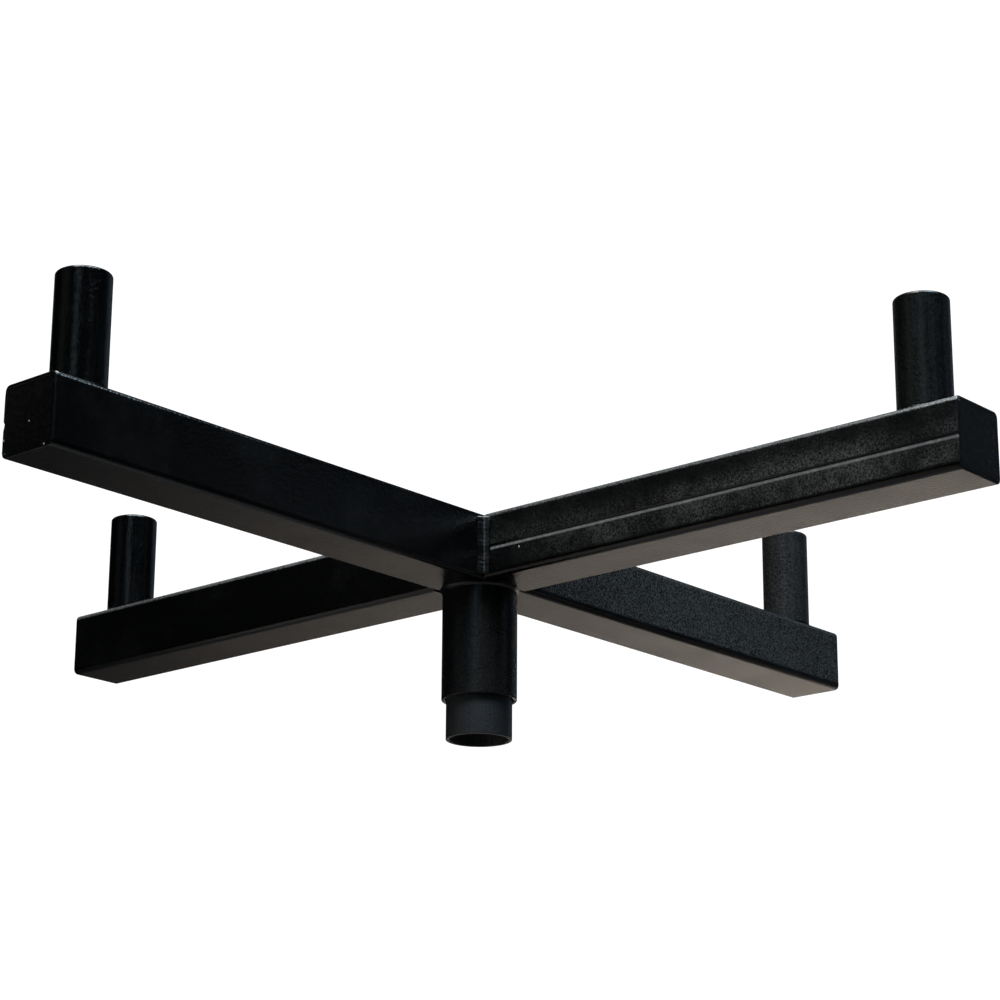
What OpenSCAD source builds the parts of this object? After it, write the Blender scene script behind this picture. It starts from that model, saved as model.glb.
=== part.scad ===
// Four-spigot cross head on the top of a stand pole.
// Millimetres. +Z is up, the origin is the centre of the pole's open lower end,
// and the arms run along X and Y.

/* [Arms] */
// Reach of each arm, from the pole's axis to the arm's end
arm_reach = 310; // [220:1:450]
// Width and height of the square tube
tube_w = 36; // [34:1:45]
// Wall thickness of the square tube
tube_wall = 2; // [1.5:0.1:2.5]
// Outside radius of the square tube's corners
tube_corner_r = 3; // [3:0.1:4]
// Thickness of the plates that close the tube ends
end_plate_t = 3; // [2:0.5:5]
// Width of the shallow groove that the weld seam leaves along each tube
seam_w = 3.2; // [2:0.1:4]
// Depth of that groove
seam_depth = 0.6; // [0.2:0.05:0.8]
// Distance of the groove below the tube's centre line
seam_drop = 1.8; // [0:0.1:4]

/* [Spigots] */
// Diameter of each spigot
spigot_d = 27.5; // [20:0.5:30]
// Height of each spigot above its arm
spigot_h = 59; // [30:1:90]
// Distance from a spigot's axis to the end of its arm
spigot_inset = 28; // [24:1:50]
// Wall thickness of the spigot tube
spigot_wall = 2; // [1.8:0.1:3]
// Radius of the rounded top edge
spigot_edge_r = 1.5; // [0.5:0.1:1.7]
// Thickness of the disc that closes the top
spigot_lid_t = 3; // [2:0.5:5]

/* [Socket] */
// Outside diameter of the sleeve under the crossing
sleeve_d = 40; // [39:0.5:42]
// Length of the sleeve
sleeve_len = 60; // [40:1:90]
// Wall thickness of the sleeve
sleeve_wall = 2; // [1.5:0.1:2]
// Radius of the sleeve's rounded lower lip
sleeve_lip_r = 0.6; // [0.3:0.1:0.7]

/* [Pole] */
// Outside diameter of the pole
pole_d = 35; // [34:0.1:35]
// Wall thickness of the pole
pole_wall = 2; // [1.8:0.1:2.5]
// Length of pole below the sleeve
pole_show = 21; // [10:1:400]
// Thickness of the plug's head on top of the pole
plug_head_t = 3; // [2:0.5:5]
// Depth that the plug reaches into the pole
plug_skirt = 14; // [10:1:25]
// Thickness of the loose washer between the plug and the arms
washer_t = 2; // [1:0.5:4]
// Hole in the washer
washer_hole_d = 12; // [5:1:20]

/* [Welds] */
// Leg of the beads in the four inner corners of the cross
corner_bead = 5; // [3:0.5:7]
// Leg of the bead round the top of the sleeve
socket_bead = 2; // [1:0.5:3]
// Leg of the bead round the foot of each spigot
spigot_bead = 2; // [1:0.5:2.5]

/* [Hidden] */
$fn = 96;
eps = 0.01;

// heights
arms_z = pole_show + sleeve_len;
arms_top = arms_z + tube_w;
plug_top = arms_z - washer_t;
pole_top = plug_top - plug_head_t;

// derived sizes
half_w = tube_w / 2;
flat_half = half_w - tube_corner_r;
side_arm_len = arm_reach - half_w;
seam_step = 0.7;
spigot_at = arm_reach - spigot_inset;
bore_w = tube_w - 2 * tube_wall;
bore_corner_r = tube_corner_r - tube_wall;
spigot_r = spigot_d / 2;
sleeve_r = sleeve_d / 2;
pole_r = pole_d / 2;
pole_bore_r = pole_r - pole_wall;

// the plug sits in a seat that is reamed a little wider than the pole's bore
seat_ream = 0.3;
seat_depth = plug_skirt + 1;
plug_gap = 0.05;
plug_rib_h = 0.8;
plug_rib_w = 1.5;
plug_ribs = 3;

// how far a bead stands out beyond the flat between its two toes
bead_centre = 0.8;
// the corner beads stop short of the tubes' rounded edges
corner_bead_end = tube_corner_r * 0.6;

// compass names of the arms, each with the angle of its arm about +Z
SIDES = [["front", -90], ["right", 0], ["rear", 90], ["left", 180]];

// a square with rounded corners, centred on the origin
module rounded_square(w, r) {
    square([w, w - 2 * r], center = true);
    square([w - 2 * r, w], center = true);
    for (x = [-1, 1], y = [-1, 1])
        translate([x * (w / 2 - r), y * (w / 2 - r)])
            circle(r);
}

// section of the square tube, with the groove of its weld seam on the -x face
module tube_section() {
    difference() {
        rounded_square(tube_w, tube_corner_r);
        rounded_square(bore_w, bore_corner_r);
        seam_groove();
    }
}

// section of the groove, steep on its upper side and shallow on its lower side
module seam_groove() {
    top = seam_w / 2 - seam_drop;
    polygon([
        [-half_w - eps, top],
        [-half_w + seam_depth, top - seam_step],
        [-half_w - eps, top - seam_w]
    ]);
}

// a square tube along +X from x = start to x = start + len, with its seam on the -Y side
module square_tube(start, len) {
    translate([start, 0, arms_z + half_w])
        rotate([90, 0, 90])
            linear_extrude(len)
                tube_section();
}

// section of a weld bead in the corner between +x and +y, with a slightly full face
module bead_section(leg) {
    c = bead_centre * leg;
    intersection() {
        square(leg);
        translate([-c, -c])
            circle(norm([leg + c, c]));
    }
}

module through_tube() {
    color("#17181b")
        rotate([0, 0, -90])
            square_tube(-arm_reach, 2 * arm_reach);
}

module side_arm(turn) {
    color("#191a1d")
        rotate([0, 0, turn])
            square_tube(half_w, side_arm_len);
}

// the beads that join one side arm to the long tube: two upright ones in the inner corners,
// and one across the top and one across the bottom, level with the tubes' faces
module corner_weld(turn) {
    color("#1c1d20")
        rotate([0, 0, turn]) {
            for (s = [-1, 1])
                translate([half_w, s * half_w, arms_z + corner_bead_end])
                    mirror([0, s < 0 ? 1 : 0, 0])
                        linear_extrude(tube_w - 2 * corner_bead_end)
                            bead_section(corner_bead);
            translate([0, 0, arms_z + half_w])
                for (s = [0, 1])
                    mirror([0, 0, s])
                        level_bead();
        }
}

// weld metal that fills the groove over the long tube's rounded edge
module level_bead() {
    translate([0, flat_half, 0])
        rotate([90, 0, 0])
            linear_extrude(2 * flat_half)
                difference() {
                    translate([flat_half, flat_half])
                        square(tube_corner_r);
                    translate([flat_half, flat_half])
                        circle(tube_corner_r);
                }
}

module end_plate(turn) {
    color("#1b1d20")
        rotate([0, 0, turn])
            translate([arm_reach - end_plate_t, 0, arms_z + half_w])
                rotate([90, 0, 90])
                    linear_extrude(end_plate_t)
                        rounded_square(bore_w, bore_corner_r);
}

// moves its children to the foot of the spigot on the arm at angle turn
module at_spigot(turn) {
    rotate([0, 0, turn])
        translate([spigot_at, 0, arms_top])
            children();
}

// tube with a rounded top edge and a bevelled foot for the weld
module spigot(turn) {
    color("#15171b")
        at_spigot(turn)
            rotate_extrude()
                difference() {
                    spigot_outline();
                    translate([-eps, -eps])
                        square([spigot_r - spigot_wall + eps, spigot_h + 2 * eps]);
                }
}

// half section of a solid spigot
module spigot_outline() {
    edge = spigot_edge_r;
    bevel = spigot_bead * 0.75;
    polygon([
        [0, 0],
        [spigot_r - bevel, 0],
        [spigot_r, spigot_bead],
        [spigot_r, spigot_h - edge],
        [0, spigot_h - edge]
    ]);
    translate([0, spigot_h - edge - eps])
        square([spigot_r - edge, edge + eps]);
    translate([spigot_r - edge, spigot_h - edge])
        intersection() {
            circle(edge);
            translate([-eps, -eps])
                square(edge + eps);
        }
}

module spigot_lid(turn) {
    color("#17191d")
        at_spigot(turn)
            translate([0, 0, spigot_h - spigot_lid_t])
                cylinder(r = spigot_r - spigot_wall, h = spigot_lid_t);
}

// the bead fills the spigot's bevel and spreads onto the arm
module spigot_weld(turn) {
    bevel = spigot_bead * 0.75;
    color("#1c1d20")
        at_spigot(turn)
            rotate_extrude()
                polygon([
                    [spigot_r - bevel, 0],
                    [spigot_r + spigot_bead * 0.75, 0],
                    [spigot_r + spigot_bead * 0.45, spigot_bead * 0.65],
                    [spigot_r, spigot_bead]
                ]);
}

module socket_sleeve() {
    inner = sleeve_r - sleeve_wall;
    lip = sleeve_lip_r;
    color("#141518")
        translate([0, 0, pole_show])
            rotate_extrude() {
                translate([inner, lip])
                    square([sleeve_wall, sleeve_len - lip]);
                translate([inner + lip, 0])
                    square([sleeve_wall - 2 * lip, lip + eps]);
                for (x = [inner + lip, sleeve_r - lip])
                    translate([x, lip])
                        circle(lip);
            }
}

module socket_weld() {
    color("#1c1d20")
        translate([0, 0, arms_z])
            rotate_extrude()
                translate([sleeve_r, 0])
                    mirror([0, 1])
                        bead_section(socket_bead);
}

module thrust_washer() {
    color("#d8d5ca")
        translate([0, 0, plug_top])
            difference() {
                cylinder(r = pole_r - 0.25, h = washer_t);
                translate([0, 0, -1])
                    cylinder(d = washer_hole_d, h = washer_t + 2);
            }
}

// solid moulded plug with a flat head and grip ribs round its skirt
module pole_plug() {
    rib_r = pole_bore_r + seat_ream - plug_gap;
    rib_pitch = (plug_skirt - 4) / plug_ribs;
    color("#222326") {
        translate([0, 0, pole_top])
            cylinder(r = pole_r, h = plug_head_t);
        translate([0, 0, pole_top - plug_skirt])
            cylinder(r = rib_r - plug_rib_h, h = plug_skirt + eps);
        for (i = [0 : plug_ribs - 1])
            translate([0, 0, pole_top - plug_skirt + 2 + i * rib_pitch])
                cylinder(r = rib_r, h = plug_rib_w);
    }
}

module pole_tube() {
    color("#131417")
        difference() {
            cylinder(r = pole_r, h = pole_top);
            translate([0, 0, -1])
                cylinder(r = pole_bore_r, h = pole_top + 2);
            translate([0, 0, pole_top - seat_depth])
                cylinder(r = pole_bore_r + seat_ream, h = seat_depth + 1);
        }
}

through_tube();
side_arm(0);  // side_arm_right
side_arm(180);  // side_arm_left
corner_weld(0);  // corner_weld_right
corner_weld(180);  // corner_weld_left
for (side = SIDES) {
    end_plate(side[1]);
    spigot(side[1]);
    spigot_lid(side[1]);
    spigot_weld(side[1]);
}
socket_sleeve();
socket_weld();
thrust_washer();
pole_plug();
pole_tube();
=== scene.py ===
import math

import bpy
from mathutils import Matrix, Vector, noise


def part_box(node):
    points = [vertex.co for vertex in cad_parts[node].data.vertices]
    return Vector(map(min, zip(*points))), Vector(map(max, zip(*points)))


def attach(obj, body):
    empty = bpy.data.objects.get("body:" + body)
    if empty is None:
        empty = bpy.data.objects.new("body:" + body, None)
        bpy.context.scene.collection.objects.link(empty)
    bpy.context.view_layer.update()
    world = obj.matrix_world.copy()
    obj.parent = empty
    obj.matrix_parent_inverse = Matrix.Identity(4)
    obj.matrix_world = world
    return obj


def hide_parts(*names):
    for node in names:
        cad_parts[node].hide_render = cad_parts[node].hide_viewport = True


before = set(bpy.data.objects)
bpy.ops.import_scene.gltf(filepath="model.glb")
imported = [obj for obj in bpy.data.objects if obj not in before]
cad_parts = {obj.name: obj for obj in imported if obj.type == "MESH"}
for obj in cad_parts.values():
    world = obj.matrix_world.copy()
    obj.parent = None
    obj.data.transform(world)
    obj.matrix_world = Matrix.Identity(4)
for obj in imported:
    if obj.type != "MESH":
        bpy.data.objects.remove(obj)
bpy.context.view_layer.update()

MM = 0.001


# ---------------------------------------------------------------- places worked out from the frame

def middle(node):
    """Centre of a CAD node's box."""
    low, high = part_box(node)
    return (low + high) / 2


beam_low, beam_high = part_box("through_tube")
sleeve_low, sleeve_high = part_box("socket_sleeve")
pole_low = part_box("pole_tube")[0]
spigot_low, spigot_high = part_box("spigot_front")

REACH = beam_high.y                                # pole's axis to the end of an arm
ARMS_LOW = beam_low.z                              # underside of the arms
ARMS_TOP = beam_high.z
HALF_TUBE = (ARMS_TOP - ARMS_LOW) / 2
ARMS_MID = (ARMS_TOP + ARMS_LOW) / 2
CORNER_R = 3.0 * MM                                # outside radius of the square tube's corners
FLAT_HALF = HALF_TUBE - CORNER_R
SLEEVE_R = (sleeve_high.x - sleeve_low.x) / 2
SPIGOT_R = (spigot_high.x - spigot_low.x) / 2
SPIGOT_TOP = spigot_high.z
SIDES = {"front": -90, "right": 0, "rear": 90, "left": 180}


# ---------------------------------------------------------------- camera

CAM_AZIMUTH = math.radians(41.27)
CAM_ELEVATION = math.radians(-17.33)
CAM_ROLL = math.radians(0.32)
CAM_PLACE = Vector((0.947, -1.0633, ARMS_LOW - 0.3931))
CAM_LENS = 99.53


def add_camera():
    back = Vector((
        math.sin(CAM_AZIMUTH) * math.cos(CAM_ELEVATION),
        -math.cos(CAM_AZIMUTH) * math.cos(CAM_ELEVATION),
        math.sin(CAM_ELEVATION),
    ))
    level_right = back.cross(Vector((0, 0, -1))).normalized()
    level_up = back.cross(level_right)
    right = level_right * math.cos(CAM_ROLL) + level_up * math.sin(CAM_ROLL)
    up = back.cross(right)
    data = bpy.data.cameras.new("camera")
    data.lens = CAM_LENS
    data.sensor_width = 36
    data.clip_start = 0.05
    data.clip_end = 100
    camera = bpy.data.objects.new("camera", data)
    turn = Matrix((right, up, back)).transposed()
    camera.matrix_world = Matrix.Translation(CAM_PLACE) @ turn.to_4x4()
    bpy.context.scene.collection.objects.link(camera)
    bpy.context.scene.camera = camera


# ---------------------------------------------------------------- node helpers

class Nodes:
    """Short ways to add and join nodes in one node tree."""

    def __init__(self, tree):
        self.tree = tree
        self.tree.nodes.clear()

    def add(self, kind):
        return self.tree.nodes.new(kind)

    def join(self, source, target):
        self.tree.links.new(source, target)

    def put(self, value, target):
        """Joins value to the socket, or sets it there when it is a plain number or colour."""
        if isinstance(value, bpy.types.NodeSocket):
            self.join(value, target)
        else:
            target.default_value = value

    def math(self, operation, *values, clamp=False):
        n = self.add("ShaderNodeMath")
        n.operation = operation
        n.use_clamp = clamp
        for value, target in zip(values, n.inputs):
            self.put(value, target)
        return n.outputs[0]

    def vector(self, operation, *values):
        n = self.add("ShaderNodeVectorMath")
        n.operation = operation
        for value, target in zip(values, n.inputs):
            self.put(value, target)
        return n.outputs["Value" if operation in ("DOT_PRODUCT", "DISTANCE") else "Vector"]

    def ramp(self, value, low, high, to_low=0.0, to_high=1.0):
        """Maps low..high onto to_low..to_high with soft ends."""
        n = self.add("ShaderNodeMapRange")
        n.interpolation_type = "SMOOTHSTEP"
        self.put(value, n.inputs["Value"])
        n.inputs["From Min"].default_value = low
        n.inputs["From Max"].default_value = high
        n.inputs["To Min"].default_value = to_low
        n.inputs["To Max"].default_value = to_high
        return n.outputs["Result"]

    def mix(self, amount, first, second):
        n = self.add("ShaderNodeMix")
        n.data_type = "RGBA"
        self.put(amount, n.inputs["Factor"])
        self.put(first, n.inputs["A"])
        self.put(second, n.inputs["B"])
        return n.outputs["Result"]


class Shader(Nodes):
    """A material with one Principled surface, textured in the object's own coordinates."""

    def __init__(self, name):
        self.material = bpy.data.materials.new(name)
        self.material.use_nodes = True
        super().__init__(self.material.node_tree)
        self.surface = self.add("ShaderNodeBsdfPrincipled")
        self.join(self.surface.outputs["BSDF"], self.add("ShaderNodeOutputMaterial").inputs["Surface"])
        self.place = self.add("ShaderNodeTexCoord").outputs["Object"]

    def axes(self):
        n = self.add("ShaderNodeSeparateXYZ")
        self.join(self.place, n.inputs[0])
        return n.outputs

    def noise(self, size, detail=2.0, rough=0.5, stretch=(1, 1, 1), shift=0.0):
        """Noise with blobs about size metres across, longer along an axis with a bigger stretch."""
        spread = self.add("ShaderNodeMapping")
        self.join(self.place, spread.inputs["Vector"])
        spread.inputs["Scale"].default_value = [1 / s for s in stretch]
        spread.inputs["Location"].default_value = (shift, shift * 0.7, shift * 1.3)
        n = self.add("ShaderNodeTexNoise")
        self.join(spread.outputs[0], n.inputs["Vector"])
        n.inputs["Scale"].default_value = 1 / size
        n.inputs["Detail"].default_value = detail
        n.inputs["Roughness"].default_value = rough
        return n.outputs["Fac"]

    def bump(self, height, depth, below=None):
        """Adds a bump of the given depth in metres, on top of an earlier one."""
        n = self.add("ShaderNodeBump")
        n.inputs["Distance"].default_value = depth
        self.join(height, n.inputs["Height"])
        if below is not None:
            self.join(below, n.inputs["Normal"])
        return n.outputs[0]


# ---------------------------------------------------------------- materials

BLACK = (0.0003, 0.0004, 0.0006, 1)
WORN_BLACK = (0.012, 0.012, 0.013, 1)
# the pole's paint is a lighter grey than the head's black, as painted light
POLE_LIT_GREY = (0.045, 0.049, 0.053, 1)
# grey of dust, also the grey that painted light is mixed towards
DUST_AND_LIGHT_GREY = (0.125, 0.125, 0.12, 1)
# grey where paint is chipped off, also used for painted highlights
CHIP_AND_HIGHLIGHT_GREY = (0.55, 0.55, 0.54, 1)
SEAM_MID = ARMS_MID - 1.8 * MM                      # middle of the groove along each tube
SEAM_HALF = 1.6 * MM

# paint chips: centre and radius
CHIPS = (
    ((16.5 * MM, -REACH + 1.5 * MM, ARMS_TOP - 1 * MM), 1.8 * MM),
    ((17 * MM, -REACH + 1 * MM, ARMS_TOP - 14 * MM), 0.8 * MM),
    ((0.5 * MM, -REACH, ARMS_MID - 3 * MM), 0.8 * MM),
    ((-17 * MM, -REACH, ARMS_MID - 9 * MM), 0.9 * MM),
    ((12 * MM, -REACH, ARMS_LOW + 1.5 * MM), 0.8 * MM),
    ((43 * MM, -HALF_TUBE, ARMS_MID - 5 * MM), 0.9 * MM),
    ((4 * MM, -REACH + 28 * MM - SPIGOT_R, SPIGOT_TOP - 11 * MM), 0.8 * MM),
)


def tube_edge_mask(s):
    """1 on the rounded corners of the square tubes, 0 on their flats."""
    x, y, z = s.axes()
    across = s.math("MINIMUM", s.math("ABSOLUTE", x), s.math("ABSOLUTE", y))
    upright = s.math("ABSOLUTE", s.math("SUBTRACT", z, ARMS_MID))
    nearer = s.math("MINIMUM", across, upright)
    return s.ramp(nearer, FLAT_HALF + 0.4 * CORNER_R, FLAT_HALF + 0.9 * CORNER_R)


def tube_end_mask(s):
    """1 in the last millimetre of each arm, 0 elsewhere."""
    x, y, _ = s.axes()
    along = s.math("MAXIMUM", s.math("ABSOLUTE", x), s.math("ABSOLUTE", y))
    return s.ramp(along, REACH - 1.2 * MM, REACH - 0.1 * MM)


def seam_mask(s):
    """1 on the lower lip of the groove that the weld seam leaves along each tube, 0 elsewhere; paint
    lightens this lip as worn paint and a painted highlight.
    """
    x, y, z = s.axes()
    face, clear = HALF_TUBE - 0.8 * MM, HALF_TUBE + 0.5 * MM
    right = s.math("MULTIPLY", s.math("GREATER_THAN", x, clear), s.math("LESS_THAN", y, -face))
    left = s.math("MULTIPLY", s.math("LESS_THAN", x, -clear), s.math("GREATER_THAN", y, face))
    off_arms = s.math("GREATER_THAN", s.math("ABSOLUTE", y), clear)
    beam = s.math("MULTIPLY", off_arms, s.math("LESS_THAN", x, -face))
    side = s.math("MAXIMUM", beam, s.math("MAXIMUM", right, left))
    height = s.math("ABSOLUTE", s.math("SUBTRACT", z, SEAM_MID - 0.6 * MM))
    return s.math("MULTIPLY", s.ramp(height, 1.2 * MM, 0.3 * MM), side)


def painted_light_and_dust(s, smudge):
    """Painted light with dust: a painted highlight on the side arms' front top edges, patchy dust with
    painted light on the right arm's front side, painted light on the rear arm's right side.
    """
    x, y, z = s.axes()
    clear = HALF_TUBE + 0.5 * MM
    # patchy dust with painted light on the right arm's front side, stronger away from the crossing
    on_front = s.math("MULTIPLY", s.math("GREATER_THAN", x, clear),
                      s.ramp(y, -HALF_TUBE + 1 * MM, -HALF_TUBE))
    below = s.math("MULTIPLY", s.ramp(z, SEAM_MID - 0.8 * MM, SEAM_MID - 1.4 * MM),
                   s.ramp(x, 30 * MM, 120 * MM, 0.01, 0.2))
    fade = s.ramp(z, SEAM_MID + 14 * MM, SEAM_MID + SEAM_HALF, 0.2, 1)
    over_seam = s.math("MULTIPLY", fade, s.ramp(z, SEAM_MID + 1.3 * MM, SEAM_MID + 1.9 * MM))
    above = s.math("MULTIPLY", over_seam, s.ramp(x, 20 * MM, 220 * MM, 0.06, 0.2))
    patchy = s.ramp(smudge, 0.36, 0.66, 0.35, 1.8)
    front = s.math("MULTIPLY", s.math("MULTIPLY", on_front, patchy), s.math("ADD", below, above))
    # painted light on the rear arm's right side, stronger away from the crossing
    beside = s.math("MULTIPLY", s.math("LESS_THAN", x, clear), s.ramp(x, HALF_TUBE - 1 * MM, HALF_TUBE))
    along = s.math("MULTIPLY", s.ramp(y, -20 * MM, 20 * MM), s.ramp(y, 10 * MM, 160 * MM, 0.13, 0.26))
    sides = s.math("ADD", front, s.math("MULTIPLY", beside, along))
    sides_clear_of_bottom = s.math("MULTIPLY", sides, s.ramp(z, ARMS_LOW + 3 * MM, ARMS_LOW + 5 * MM))
    # painted highlight along the side arms' front top edges
    off_beam = s.math("GREATER_THAN", s.math("ABSOLUTE", x), clear)
    front_edge = s.math("MULTIPLY", off_beam, s.math("LESS_THAN", y, -FLAT_HALF))
    top_edge_highlight = s.math("MULTIPLY", front_edge, s.ramp(z, ARMS_TOP - 3.2 * MM, ARMS_TOP - 2.0 * MM))
    return s.math("MULTIPLY_ADD", top_edge_highlight, s.ramp(smudge, 0.36, 0.6, 0.55, 0.95), sides_clear_of_bottom)


def corner_highlight_mask(s):
    """1 on a thin painted highlight line up the front right corner's weld, 0 elsewhere."""
    x, y, _ = s.axes()
    off_line = s.math("ABSOLUTE", s.math("SUBTRACT", x, HALF_TUBE + 2.4 * MM))
    line_streak = s.math("MULTIPLY", s.ramp(off_line, 0.6 * MM, 0.1 * MM),
                    s.math("LESS_THAN", y, -HALF_TUBE - 0.3 * MM))
    return s.math("MULTIPLY", line_streak, 0.25)


def spigot_rim_mask(s):
    """1 on the rounded top edge of a spigot, 0 elsewhere."""
    z = s.axes()[2]
    return s.ramp(z, SPIGOT_TOP - 1.8 * MM, SPIGOT_TOP - 0.4 * MM)


def chip_mask(s):
    """1 inside the few paint chips, 0 elsewhere."""
    mask = 0.0
    for spot, size in CHIPS:
        away = s.vector("DISTANCE", s.place, spot)
        ragged = s.math("MULTIPLY_ADD", s.noise(0.9 * MM, detail=2.0, shift=9.0), size, away)
        mask = s.math("MAXIMUM", mask, s.ramp(ragged, 1.2 * size, 0.9 * size))
    return mask


def paint(name, gloss, edge=None, lip=None, light_and_dust_mask=None,
          streaks=False, dust_and_light_level=1.0, grey=0.0, colour=BLACK):
    """Powder coat: fine orange peel, faint dust, smudges that change the gloss, and worn edges, with
    painted light lifted into the dust haze and a lip mask lightened as worn paint and painted
    highlight.
    """
    s = Shader(name)
    peel = s.noise(1.8 * MM, detail=2.0, rough=0.6)
    waves = s.noise(6 * MM, detail=1.0, shift=3.0)
    smudge = s.noise(38 * MM, detail=6.0, rough=0.65, shift=7.0)
    grain = s.noise(0.8 * MM, detail=2.0, shift=11.0)

    worn = s.ramp(smudge, 0.46, 0.64, 0.0, 0.04)
    nicks = s.ramp(s.noise(2.2 * MM, detail=3.0, rough=0.7, shift=5.0), 0.45, 0.62)
    if edge is not None:
        rubbed_edge = s.math("MULTIPLY", edge(s), s.math("MULTIPLY_ADD", nicks, 0.4, 0.15))
        worn = s.math("MAXIMUM", worn, rubbed_edge)
    base = s.mix(worn, colour, WORN_BLACK)
    # the lip mask lightens towards chip grey: worn paint and a painted highlight on the seam's lip, a
    # painted highlight on the corner line
    if lip is not None:
        base = s.mix(s.math("MULTIPLY", lip(s), s.math("MULTIPLY_ADD", nicks, 0.1, 0.2)), base, CHIP_AND_HIGHLIGHT_GREY)

    specks = s.ramp(grain, 0.64, 0.74)
    patches = s.ramp(smudge, 0.45, 0.68)
    film = s.math("MULTIPLY", specks, s.math("MULTIPLY_ADD", patches, 0.1 * dust_and_light_level, 0.02 * dust_and_light_level))
    # the grey lift and the mask passed in add painted light to the dust haze; the patches are dust
    dust_and_light_haze = s.math("MULTIPLY_ADD", patches, 0.012 * dust_and_light_level, 0.002 * dust_and_light_level + grey)
    if light_and_dust_mask is not None:
        dust_and_light_haze = s.math("ADD", light_and_dust_mask(s, smudge), dust_and_light_haze)
    dust_and_light_haze = s.math("MULTIPLY", dust_and_light_haze, s.ramp(grain, 0.3, 0.7, 0.15, 1.85))
    dust_and_light_base = s.mix(s.math("ADD", film, dust_and_light_haze, clamp=True), base, DUST_AND_LIGHT_GREY)
    s.put(s.mix(chip_mask(s), dust_and_light_base, CHIP_AND_HIGHLIGHT_GREY), s.surface.inputs["Base Color"])

    rough = s.ramp(smudge, 0.35, 0.7, gloss - 0.02, gloss + 0.04)
    if streaks:
        line_streak = s.noise(2.5 * MM, detail=3.0, stretch=(1, 1, 14), shift=2.0)
        rough = s.math("ADD", rough, s.ramp(line_streak, 0.4, 0.7, -0.02, 0.03))
    s.put(s.math("MULTIPLY_ADD", grain, 0.05, rough), s.surface.inputs["Roughness"])
    s.surface.inputs["IOR"].default_value = 1.5

    relief = s.bump(waves, 0.08 * MM)
    relief = s.bump(peel, 0.24 * MM, relief)
    s.join(relief, s.surface.inputs["Normal"])
    return s.material


def plastic(name, colour, rough):
    """Moulded plastic with a fine spark-eroded grain and faint flow marks."""
    s = Shader(name)
    grain = s.noise(0.4 * MM, detail=3.0)
    flow = s.noise(9 * MM, detail=2.0, shift=4.0)
    darker = tuple(c * 0.8 for c in colour[:3]) + (1,)
    s.put(s.mix(s.ramp(flow, 0.35, 0.65), darker, colour), s.surface.inputs["Base Color"])
    s.put(s.ramp(grain, 0.3, 0.7, rough - 0.06, rough + 0.08), s.surface.inputs["Roughness"])
    s.join(s.bump(grain, 0.02 * MM), s.surface.inputs["Normal"])
    return s.material


def both(first, second):
    """A mask that is the larger of two masks."""
    return lambda s: s.math("MAXIMUM", first(s), second(s))


def dress_nodes():
    tube = paint("frame_paint", 0.2, both(tube_edge_mask, tube_end_mask), seam_mask, painted_light_and_dust)
    # lit and shaded copies of one paint, as painted light: front and left spigots darkest, right one
    # lighter, rear one lightest
    shaded_peg = paint("shaded_spigot_paint", 0.18, spigot_rim_mask, streaks=True, dust_and_light_level=0.3)
    peg = paint("spigot_paint", 0.24, spigot_rim_mask, streaks=True, grey=0.03)
    lit_peg = paint("lit_spigot_paint", 0.26, spigot_rim_mask, streaks=True, dust_and_light_level=2.0, grey=0.13)
    # the pole is painted a lighter grey as painted light
    pole = paint("pole_paint", 0.36, streaks=True, dust_and_light_level=1.5, colour=POLE_LIT_GREY)
    # the sleeve's paint gets a grey lift and extra dust as painted light
    sleeve = paint("sleeve_paint", 0.26, dust_and_light_level=1.5, grey=0.07)
    plug = plastic("plug_plastic", (0.02, 0.02, 0.022, 1), 0.45)
    washer = plastic("washer_nylon", (0.68, 0.66, 0.58, 1), 0.4)
    finish = {"through_tube": tube, "side_arm": tube, "end_plate": tube,
              "spigot": shaded_peg, "spigot_right": peg, "spigot_rear": lit_peg,
              "pole_tube": pole, "socket_sleeve": sleeve, "pole_plug": plug, "thrust_washer": washer}
    for name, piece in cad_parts.items():
        for start, material in finish.items():
            if name.startswith(start):
                piece.data.materials.clear()
                piece.data.materials.append(material)


def soften_edges(names, width):
    """Rounds the cut edges of CAD nodes with modifiers, so that they catch the light."""
    for name in names:
        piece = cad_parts[name]
        weld = piece.modifiers.new("weld", "WELD")
        weld.merge_threshold = 0.001 * MM
        bevel = piece.modifiers.new("bevel", "BEVEL")
        bevel.width = width
        bevel.segments = 3
        bevel.limit_method = "ANGLE"
        bevel.angle_limit = math.radians(60)
        bevel.harden_normals = True


# ---------------------------------------------------------------- weld beads

RIPPLE_PITCH = 2.4 * MM
BEAD_SINK = 0.5 * MM                               # how far a bead's root lies inside the corner
CORNER_LEG = 5 * MM
SOCKET_LEG, SOCKET_INSET = 1.7 * MM, 0.2 * MM      # leg, and how far inside the tube's wall it starts
SPIGOT_LEG, SPIGOT_INSET = 2.3 * MM, 0.9 * MM


def bead_point(origin, u, v, leg, bulge, ripple, s, t):
    """A point on a bead's face.

    u and v are the two toes' directions, s the way along the bead and t the turn from u to v.
    """
    turn = t * math.pi / 2
    skew = 1.1 * math.cos(2 * turn - math.pi / 2)
    wave = 1 + ripple * math.sin(2 * turn) * math.sin(2 * math.pi * s / RIPPLE_PITCH + skew)
    wander = 1 + 0.1 * noise.noise(Vector((s / (6 * MM), t, leg * 900)))
    flat = 1 / (math.cos(turn) + math.sin(turn))
    out = leg * flat * (1 + bulge * math.sin(2 * turn)) * wave * wander
    return origin + (u * math.cos(turn) + v * math.sin(turn)) * out


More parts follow.
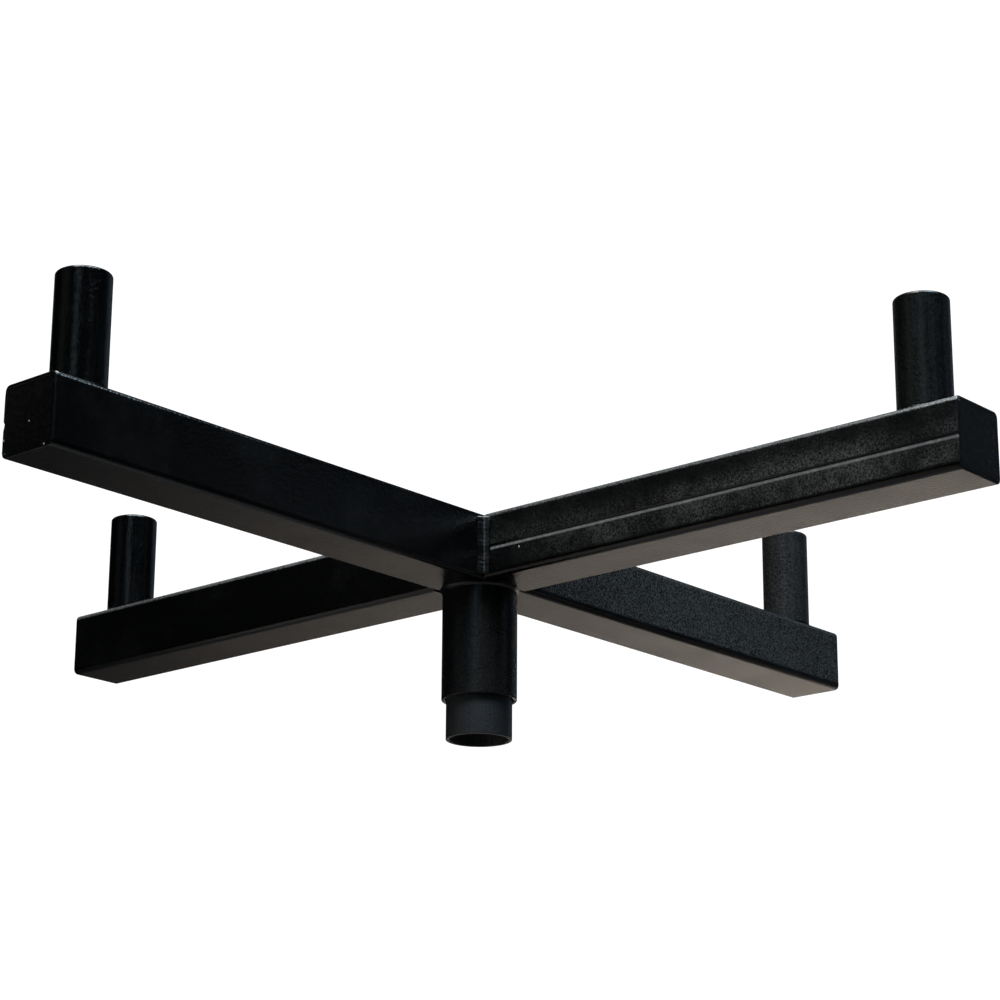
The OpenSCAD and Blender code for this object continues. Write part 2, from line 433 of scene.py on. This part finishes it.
def bead(name, stations, bulge, ripple, material, closed, turns=10):
    """A weld bead. Each station is (point, u, v, leg, way along)."""
    verts, faces = [], []
    row = turns + 2
    for point, u, v, leg, s in stations:
        verts += [bead_point(point, u, v, leg, bulge, ripple, s, i / turns) for i in range(turns + 1)]
        verts.append(point - (u + v) * BEAD_SINK)
    count = len(stations)
    for j in range(count if closed else count - 1):
        here, there = j * row, (j + 1) % count * row
        for i in range(row):
            k = (i + 1) % row
            faces.append((here + i, here + k, there + k, there + i))
    if not closed:
        faces.append(tuple(reversed(range(row))))
        faces.append(tuple((count - 1) * row + i for i in range(row)))
    mesh = bpy.data.meshes.new(name)
    mesh.from_pydata(verts, [], faces)
    mesh.update()
    mesh.materials.append(material)
    mesh.shade_smooth()
    piece = bpy.data.objects.new(name, mesh)
    bpy.context.scene.collection.objects.link(piece)
    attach(piece, "head")
    return piece


def ring_bead(name, centre, radius, leg, up, bulge, ripple, material):
    """A bead round a tube that stands on (up = 1) or hangs from (up = -1) a flat face."""
    steps = 180
    stations = []
    for j in range(steps):
        a = 2 * math.pi * j / steps
        out = Vector((math.cos(a), math.sin(a), 0))
        laps = round(2 * math.pi * radius / RIPPLE_PITCH)
        s = j / steps * laps * RIPPLE_PITCH
        stations.append((centre + out * radius, out, Vector((0, 0, up)), leg, s))
    return bead(name, stations, bulge, ripple, material, closed=True)


def corner_bead(name, turn, side, leg, material):
    """A bead up the inner corner of a side arm and the long tube, dipping round their rounded edges."""
    steps = 72
    spin = Matrix.Rotation(math.radians(turn), 3, "Z")
    along, across = spin @ Vector((1, 0, 0)), spin @ Vector((0, side, 0))
    stations = []
    tall = HALF_TUBE - 2 * MM
    for j in range(steps + 1):
        z = -tall + 2 * tall * j / steps
        end = max(0.0, CORNER_R - (HALF_TUBE - abs(z)))
        recess = CORNER_R - math.sqrt(max(CORNER_R ** 2 - end ** 2, 0.0))
        corner = (along + across) * (HALF_TUBE - recess)
        taper = 1 - 3 * (end / CORNER_R) ** 2
        point = corner + Vector((0, 0, ARMS_MID + z))
        stations.append((point, along, across, leg * taper, z + HALF_TUBE))
    return bead(name, stations, bulge=-0.2, ripple=0.02, material=material, closed=False)


def weld_everything():
    # the weld paint carries a painted highlight line up the front right corner's weld
    material = paint("weld_paint", 0.2, lip=corner_highlight_mask, dust_and_light_level=0.5)
    for arm, turn in (("right", 0), ("left", 180)):
        for label, side in (("a", -1), ("b", 1)):
            piece = corner_bead(f"corner_bead_{arm}_{label}", turn, side, CORNER_LEG, material)
            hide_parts(f"corner_weld_{arm}")
    socket = ring_bead("socket_bead", Vector((0, 0, ARMS_LOW)), SLEEVE_R - SOCKET_INSET, SOCKET_LEG,
                       up=-1, bulge=0.1, ripple=0.04, material=material)
    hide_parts("socket_weld")
    for side in SIDES:
        foot = middle(f"spigot_{side}")
        foot.z = ARMS_TOP
        ring = ring_bead(f"spigot_bead_{side}", foot, SPIGOT_R - SPIGOT_INSET, SPIGOT_LEG,
                         up=1, bulge=0.1, ripple=0.05, material=material)
        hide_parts(f"spigot_weld_{side}")


# ---------------------------------------------------------------- floor and light

FLOOR_DROP = 1.15                                  # below the pole's lower end
FLOOR_SIZE = 60
FLOOR_SEEN = (1.0, 0.995, 0.99, 1)                 # the floor's colour and brightness to the camera
FLOOR_BRIGHTNESS = 0.84
FLOOR_GREYS = ((0.4, 0.39, 0.38, 1), (0.43, 0.42, 0.41, 1))     # the floor to every other ray
LAMP_HEIGHT = 6.0                                  # of the floor's lamps, above the floor
KEY_AWAY, KEY_SIZE = 1.6, 1.0
WARM, COOL = (1, 0.9, 0.8), (0.9, 0.96, 1.0)


def heading(azimuth, elevation):
    """The unit vector at an azimuth from +X towards +Y and an elevation, both in degrees."""
    a, e = math.radians(azimuth), math.radians(elevation)
    return Vector((math.cos(a) * math.cos(e), math.sin(a) * math.cos(e), math.sin(e)))


def add_floor():
    """A floor of one pale tone to the camera, and a lit mid grey to every other ray."""
    half = FLOOR_SIZE / 2
    z = pole_low.z - FLOOR_DROP
    mesh = bpy.data.meshes.new("floor")
    corners = ((-half, -half), (half, -half), (half, half), (-half, half))
    mesh.from_pydata([(x, y, z) for x, y in corners], [], [(0, 1, 2, 3)])
    s = Shader("floor")
    mottle = s.ramp(s.noise(0.6, detail=3.0), 0.3, 0.7)
    seen = s.add("ShaderNodeLightPath").outputs["Is Camera Ray"]
    s.put(s.mix(seen, s.mix(mottle, *FLOOR_GREYS), (0, 0, 0, 1)), s.surface.inputs["Base Color"])
    s.surface.inputs["Roughness"].default_value = 1.0
    s.surface.inputs["Specular IOR Level"].default_value = 0.0
    s.surface.inputs["Emission Color"].default_value = FLOOR_SEEN
    s.put(s.math("MULTIPLY", seen, FLOOR_BRIGHTNESS), s.surface.inputs["Emission Strength"])
    mesh.materials.append(s.material)
    floor = bpy.data.objects.new("floor", mesh)
    bpy.context.scene.collection.objects.link(floor)


# soft patches of light in the room: azimuth, elevation, inner and outer half angle, colour
GLOWS = (
    (94, 12, 4, 32, (0.1, 0.13, 0.16)),
    (-116, 26, 3, 22, (0.08, 0.085, 0.085)),
    (-62, 17, 3, 12, (0.4, 0.55, 0.62)),
    (0, 2, 6, 30, (0.01, 0.014, 0.016)),
    (150, 34, 6, 24, (0.14, 0.145, 0.15)),
)
DIM = (0.003, 0.004, 0.006)                        # the room between them


def add_world():
    """White to the camera, and a dim room with a few soft glows to everything else."""
    world = bpy.data.worlds.new("studio")
    world.use_nodes = True
    bpy.context.scene.world = world
    n = Nodes(world.node_tree)
    way = n.add("ShaderNodeTexCoord").outputs["Generated"]
    light = DIM
    for azimuth, elevation, inner, outer, colour in GLOWS:
        near = n.vector("DOT_PRODUCT", way, heading(azimuth, elevation))
        share = n.ramp(near, math.cos(math.radians(outer)), math.cos(math.radians(inner)))
        part = n.vector("MULTIPLY", share, colour)
        light = n.vector("ADD", part, light)
    room = n.add("ShaderNodeBackground")
    n.join(light, room.inputs["Color"])
    seen = n.add("ShaderNodeBackground")
    seen.inputs["Color"].default_value = (1, 1, 1, 1)
    seen.inputs["Strength"].default_value = 1.1
    which = n.add("ShaderNodeMixShader")
    n.join(n.add("ShaderNodeLightPath").outputs["Is Camera Ray"], which.inputs["Fac"])
    n.join(room.outputs[0], which.inputs[1])
    n.join(seen.outputs[0], which.inputs[2])
    n.join(which.outputs[0], n.add("ShaderNodeOutputWorld").inputs["Surface"])


def add_softbox(name, place, aim, size, power, colour=(1, 1, 1)):
    """A round soft light."""
    data = bpy.data.lights.new(name, "AREA")
    data.shape = "DISK"
    data.size = size
    data.energy = power
    data.color = colour
    data.spread = math.radians(60)
    lamp = bpy.data.objects.new(name, data)
    lamp.location = place
    lamp.rotation_mode = "QUATERNION"
    lamp.rotation_quaternion = (place - aim).to_track_quat("Z", "Y")
    lamp.visible_camera = False
    bpy.context.scene.collection.objects.link(lamp)


def add_floor_light(name, x, y, reach, power, colour):
    """A soft round pool of light on the floor, from a lamp that points straight down.

    The camera sees the floor as one tone, so the pools show only in reflections.
    """
    data = bpy.data.lights.new(name, "SPOT")
    data.spot_size = 2 * math.atan(reach / LAMP_HEIGHT)
    data.spot_blend = 1
    data.shadow_soft_size = 0.3
    data.energy = power
    data.color = colour
    lamp = bpy.data.objects.new(name, data)
    lamp.location = (x, y, pole_low.z - FLOOR_DROP + LAMP_HEIGHT)
    bpy.context.scene.collection.objects.link(lamp)


def add_light():
    crossing = Vector((0, 0, ARMS_MID))
    left, right = crossing + heading(-76, 64) * KEY_AWAY, crossing + heading(-8, 60) * KEY_AWAY
    add_softbox("key_left", left, crossing, KEY_SIZE, 4.2)
    add_softbox("key_right", right, crossing, KEY_SIZE, 5.0, (0.76, 0.96, 1.12))
    add_softbox("window", crossing + heading(34, 14) * 1.0, crossing, 0.24, 0.004, (0.8, 0.97, 1.1))
    add_floor_light("pool_back", -2.2, 6.2, reach=4.0, power=6800, colour=WARM)
    add_floor_light("pool_left", -1.4, -2.0, reach=2.0, power=2000, colour=WARM)
    add_floor_light("pool_right", 4.5, 5.0, reach=3.0, power=1500, colour=COOL)


# ---------------------------------------------------------------- everything

add_camera()
add_world()
add_floor()
add_light()
dress_nodes()
soften_edges(("through_tube", "side_arm_right", "side_arm_left"), 0.5 * MM)
soften_edges(("pole_tube",), 0.4 * MM)
weld_everything()

scene = bpy.context.scene
scene.view_settings.view_transform = "Standard"
scene.view_settings.look = "None"

bpy.context.view_layer.update()
